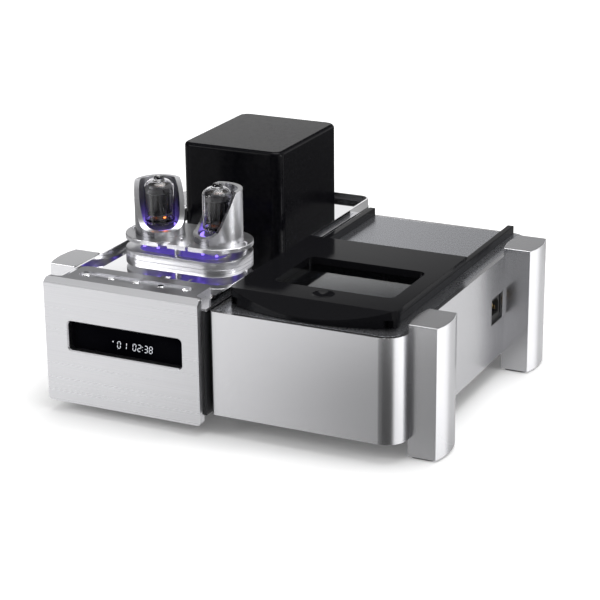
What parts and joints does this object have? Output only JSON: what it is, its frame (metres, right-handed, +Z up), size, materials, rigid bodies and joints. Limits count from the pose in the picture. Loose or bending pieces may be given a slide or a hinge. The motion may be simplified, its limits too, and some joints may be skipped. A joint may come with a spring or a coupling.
{
  "type": "tube cd player",
  "caption": "Top-loading CD player: display tower with a mirror deck carrying guarded tubes and a transformer cover, beside a rounded body with a sliding lid, on pillar legs.",
  "frame": {"origin": "centre of the overall footprint, on the table the feet stand on", "axes": "+Z up, +Y from the fascia to the rear, +X to the right seen from the front"},
  "size_m": [0.438, 0.396, 0.2205],
  "materials": {
    "brushed_aluminium": "fine horizontal brushing",
    "satin_aluminium": "satin, bead blasted",
    "polished_aluminium": "polished",
    "mirror_steel": "mirror polished stainless steel",
    "black_steel": "satin black powder coat",
    "cover_enamel": "gloss black enamel",
    "black_anodised": "satin black anodised",
    "grey_anodised": "matt dark grey anodised",
    "dark_glass": "tinted, polished",
    "clear_glass": "clear, polished",
    "tube_metal": "carbonised nickel plates with mica and a getter",
    "ceramic": "glazed ceramic",
    "black_plastic": "fine matt",
    "rubber": "matt",
    "steel": "bright",
    "contact_brass": "gold plated",
    "circuit_board": "solder resist",
    "winding_wrap": "polyester tape",
    "capacitor_sleeve": "shrink sleeve"
  },
  "bodies": {
    "housing": {"fascia_and_key_block": "brushed_aluminium", "display_window": "dark_glass", "display_module": "circuit_board", "key_board": "circuit_board", "left_body_shell": "black_steel", "left_body_floor": "black_steel", "mirror_tub": "mirror_steel", "tube_deck_base": "polished_aluminium", "light_board": "circuit_board", "deck_posts": "polished_aluminium", "tube_plate": "polished_aluminium", "plate_screws": "steel", "tube_guard_left": "polished_aluminium", "tube_guard_right": "polished_aluminium", "tube_socket_left": "ceramic", "tube_socket_right": "ceramic", "tube_core_left": "tube_metal", "tube_core_right": "tube_metal", "tube_bulb_left": "clear_glass", "tube_bulb_right": "clear_glass", "transformer_cover": "cover_enamel", "transformer_lower": "winding_wrap", "transformer_upper": "winding_wrap", "transformer_bolt": "steel", "wrap_band": "satin_aluminium", "top_plate": "grey_anodised", "rail_left": "black_anodised", "rail_right": "black_anodised", "transport_floor": "black_steel", "rear_panel": "black_steel", "output_jacks": "contact_brass", "optical_socket": "black_plastic", "power_inlet": "black_plastic", "inlet_pins": "contact_brass", "disc_well": "black_plastic", "transport_frame": "black_plastic", "pickup_rods": "steel", "frame_dampers": "rubber", "spindle_motor": "steel", "pillar_front_left": "satin_aluminium", "pillar_rear_left": "satin_aluminium", "pillar_front_right": "satin_aluminium", "pillar_rear_right": "satin_aluminium", "foot_pads": "rubber", "body_bolts": "steel", "decoder_board": "circuit_board", "power_board": "circuit_board", "power_capacitors": "capacitor_sleeve"},
    "lid_carriage": {"lid": "black_anodised", "lid_glass": "dark_glass"},
    "spindle": {"turntable": "black_plastic"},
    "clamp": {"disc_clamp": "black_plastic"},
    "pickup": {"pickup_sled": "black_plastic"},
    "sled_drive": {"sled_screw": "steel"},
    "key_1": {"transport_key_1": "polished_aluminium"},
    "key_2": {"transport_key_2": "polished_aluminium"},
    "key_3": {"transport_key_3": "polished_aluminium"},
    "key_4": {"transport_key_4": "polished_aluminium"},
    "key_5": {"transport_key_5": "polished_aluminium"}
  },
  "joints": [
    {"name": "lid_slide", "type": "slide", "parent": "housing", "child": "lid_carriage", "axis": [0, 1, 0], "range_m": [0, 0.142]},
    {"name": "spindle_spin", "type": "hinge", "parent": "housing", "child": "spindle", "pos_m": [0.086, -0.0968, 0.1], "axis": [0, 0, 1], "continuous": true},
    {"name": "clamp_lift", "type": "slide", "parent": "spindle", "child": "clamp", "axis": [0, 0, 1], "range_m": [0, 0.009]},
    {"name": "pickup_travel", "type": "slide", "parent": "housing", "child": "pickup", "axis": [1, 0, 0], "range_m": [0, 0.032]},
    {"name": "sled_screw_spin", "type": "hinge", "parent": "housing", "child": "sled_drive", "pos_m": [0.126, -0.0708, 0.096], "axis": [-1, 0, 0], "range_deg": [0, 3841]},
    {"name": "key_1_press", "type": "slide", "parent": "housing", "child": "key_1", "axis": [0, 0, -1], "range_m": [0, 0.0015], "stiffness_N_per_m": 400, "springref_m": -0.0005},
    {"name": "key_2_press", "type": "slide", "parent": "housing", "child": "key_2", "axis": [0, 0, -1], "range_m": [0, 0.0015], "stiffness_N_per_m": 400, "springref_m": -0.0005},
    {"name": "key_3_press", "type": "slide", "parent": "housing", "child": "key_3", "axis": [0, 0, -1], "range_m": [0, 0.0015], "stiffness_N_per_m": 400, "springref_m": -0.0005},
    {"name": "key_4_press", "type": "slide", "parent": "housing", "child": "key_4", "axis": [0, 0, -1], "range_m": [0, 0.0015], "stiffness_N_per_m": 400, "springref_m": -0.0005},
    {"name": "key_5_press", "type": "slide", "parent": "housing", "child": "key_5", "axis": [0, 0, -1], "range_m": [0, 0.0015], "stiffness_N_per_m": 400, "springref_m": -0.0005}
  ],
  "couplings": [
    {"joint": "sled_screw_spin", "follows": "pickup_travel", "rad_per_m": 2094.4}
  ]
}
